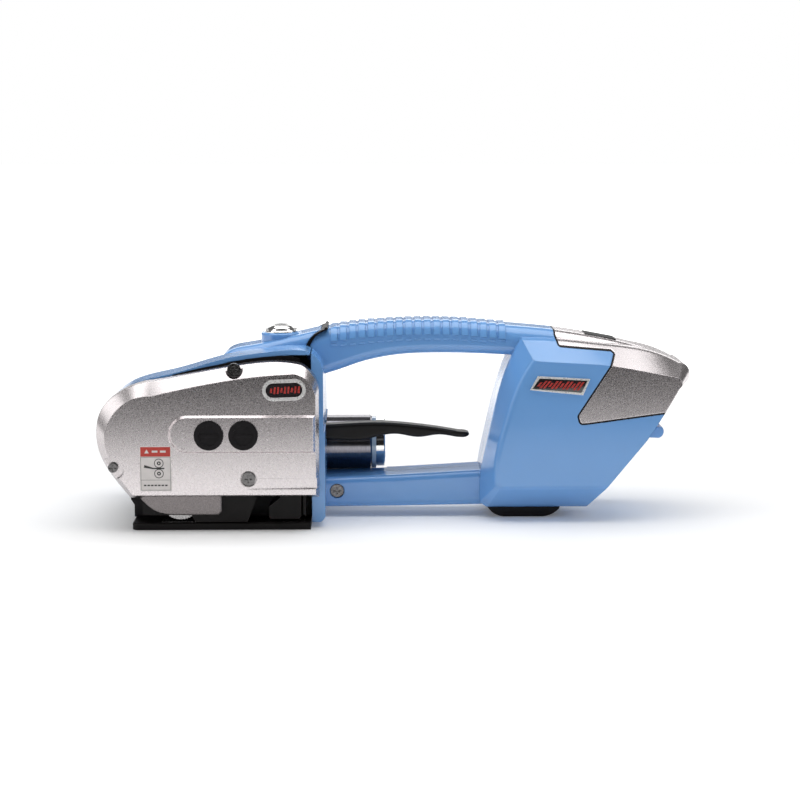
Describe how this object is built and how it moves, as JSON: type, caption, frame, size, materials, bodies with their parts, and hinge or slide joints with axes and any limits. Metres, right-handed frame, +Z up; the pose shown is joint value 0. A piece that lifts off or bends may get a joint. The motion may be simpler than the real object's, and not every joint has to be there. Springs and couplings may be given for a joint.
{
  "type": "battery strapping tool",
  "caption": "Hand-held friction-weld tool for plastic strap: gear head with tension wheel and weld shoe, grip handle, squeeze lever, side motor and battery housing.",
  "frame": {"origin": "centre of the tool's overall footprint, on the plane it stands on", "axes": "+X from the nose to the battery end, +Z up, -Y towards the strap side with the silver cover"},
  "size_m": [0.3701, 0.13, 0.1264],
  "materials": {
    "blue_shell": "glossy moulded plastic, light blue",
    "silver_paint": "satin silver paint on die casting",
    "black_rubber": "soft black rubber",
    "black_plastic": "satin black moulded plastic",
    "black_steel": "blackened steel",
    "cast_frame": "dark cast frame",
    "bright_steel": "ground steel",
    "chrome_trim": "bright chrome",
    "motor_paint": "dark motor can",
    "badge_face": "dark red badge with a chrome rim",
    "label_vinyl": "printed vinyl label",
    "lens_dark": "black display window",
    "board_green": "circuit board",
    "contact_brass": "plated contacts",
    "cell_wrap": "shrink-wrapped cell"
  },
  "bodies": {
    "housing": {"side_cover": "silver_paint", "cap_front": "black_rubber", "cap_rear": "black_rubber", "adjuster_screws": "bright_steel", "cover_screws": "bright_steel", "bearing_bracket": "bright_steel", "oval_badge": "badge_face", "info_label": "label_vinyl", "base_plate": "black_steel", "base_screws": "bright_steel", "gripping_plate": "bright_steel", "weld_plate": "bright_steel", "frame_casting": "cast_frame", "motor_can": "motor_paint", "motor_ring": "blue_shell", "motor_end_cap": "chrome_trim", "drive_belt": "black_rubber", "lever_pin": "bright_steel", "head_top_cover": "blue_shell", "seam_trim": "black_rubber", "housing_near": "blue_shell", "housing_far": "blue_shell", "rear_cover": "silver_paint", "rear_gasket": "black_rubber", "display_lens": "lens_dark", "housing_screws": "bright_steel", "far_cover": "blue_shell", "far_cover_screws": "bright_steel", "rubber_foot": "black_rubber", "button_ring": "chrome_trim", "button_switch": "black_plastic", "rear_badge": "badge_face", "bay_contacts": "contact_brass", "control_board": "board_green", "rocker_spring": "bright_steel"},
    "cross_drive": {"cross_shaft": "bright_steel", "bevel_gear": "bright_steel", "drive_pulley": "bright_steel"},
    "motor_drive": {"motor_pinion": "bright_steel"},
    "weld_drive": {"weld_shaft": "bright_steel", "weld_pulley": "bright_steel"},
    "weld_head": {"weld_arm": "black_steel", "weld_shoe": "bright_steel"},
    "cutter": {"cutter_blade": "bright_steel"},
    "rocker": {"rocker_arm": "black_steel", "wheel_guard": "silver_paint"},
    "drive_gear": {"drive_gear": "bright_steel"},
    "idler_gear": {"idler_gear": "bright_steel"},
    "feed_wheel": {"tension_wheel": "bright_steel", "wheel_gear": "bright_steel"},
    "lever": {"lever_arm": "black_plastic"},
    "button": {"tension_button": "chrome_trim"},
    "battery": {"battery_case": "blue_shell", "battery_cells": "cell_wrap"},
    "latch": {"battery_latch": "blue_shell"}
  },
  "joints": [
    {"name": "cross_spin", "type": "hinge", "parent": "housing", "child": "cross_drive", "pos_m": [-0.088, 0, 0.0415], "axis": [0, 1, 0], "continuous": true},
    {"name": "motor_spin", "type": "hinge", "parent": "housing", "child": "motor_drive", "pos_m": [-0.07, 0.022, 0.0415], "axis": [1, 0, 0], "continuous": true},
    {"name": "weld_spin", "type": "hinge", "parent": "housing", "child": "weld_drive", "pos_m": [-0.064, 0, 0.068], "axis": [0, 1, 0], "continuous": true},
    {"name": "weld_swing", "type": "hinge", "parent": "housing", "child": "weld_head", "pos_m": [-0.064, -0.04, 0.04], "axis": [0, 1, 0], "range_deg": [-2.3, 2.3], "stiffness_Nm_per_rad": 4},
    {"name": "cutter_stroke", "type": "slide", "parent": "housing", "child": "cutter", "axis": [0, 0, -1], "range_m": [0, 0.0028], "stiffness_N_per_m": 800, "springref_m": -0.001},
    {"name": "rocker_swing", "type": "hinge", "parent": "housing", "child": "rocker", "pos_m": [-0.088, -0.043, 0.0415], "axis": [0, 1, 0], "range_deg": [0, 8], "stiffness_Nm_per_rad": 6, "springref_deg": -5.73, "deforming": ["rocker_spring"]},
    {"name": "drive_gear_spin", "type": "hinge", "parent": "rocker", "child": "drive_gear", "pos_m": [-0.088, -0.038, 0.0415], "axis": [0, 1, 0], "continuous": true},
    {"name": "idler_spin", "type": "hinge", "parent": "rocker", "child": "idler_gear", "pos_m": [-0.11719, -0.038, 0.03459], "axis": [0, 1, 0], "continuous": true},
    {"name": "feed_wheel_spin", "type": "hinge", "parent": "rocker", "child": "feed_wheel", "pos_m": [-0.135, -0.044, 0.0185], "axis": [0, 1, 0], "continuous": true},
    {"name": "lever_squeeze", "type": "hinge", "parent": "housing", "child": "lever", "pos_m": [-0.058, -0.006, 0.056], "axis": [0, -1, 0], "range_deg": [0, 20]},
    {"name": "button_press", "type": "slide", "parent": "housing", "child": "button", "axis": [0, 0, -1], "range_m": [0, 0.003], "stiffness_N_per_m": 500, "springref_m": -0.003},
    {"name": "battery_slide", "type": "slide", "parent": "housing", "child": "battery", "axis": [1, 0, 0], "range_m": [0, 0.09]},
    {"name": "latch_slide", "type": "slide", "parent": "housing", "child": "latch", "axis": [0.621, 0, 0.7838], "range_m": [0, 0.002], "stiffness_N_per_m": 600, "springref_m": -0.002}
  ],
  "couplings": [
    {"joint": "motor_spin", "follows": "cross_spin", "ratio": 1.5556},
    {"joint": "weld_spin", "follows": "cross_spin", "ratio": 1.3846},
    {"joint": "idler_spin", "follows": "feed_wheel_spin", "ratio": -0.84615},
    {"joint": "drive_gear_spin", "follows": "feed_wheel_spin", "ratio": 0.64706},
    {"joint": "lever_squeeze", "follows": "rocker_swing", "ratio": 2.5}
  ]
}
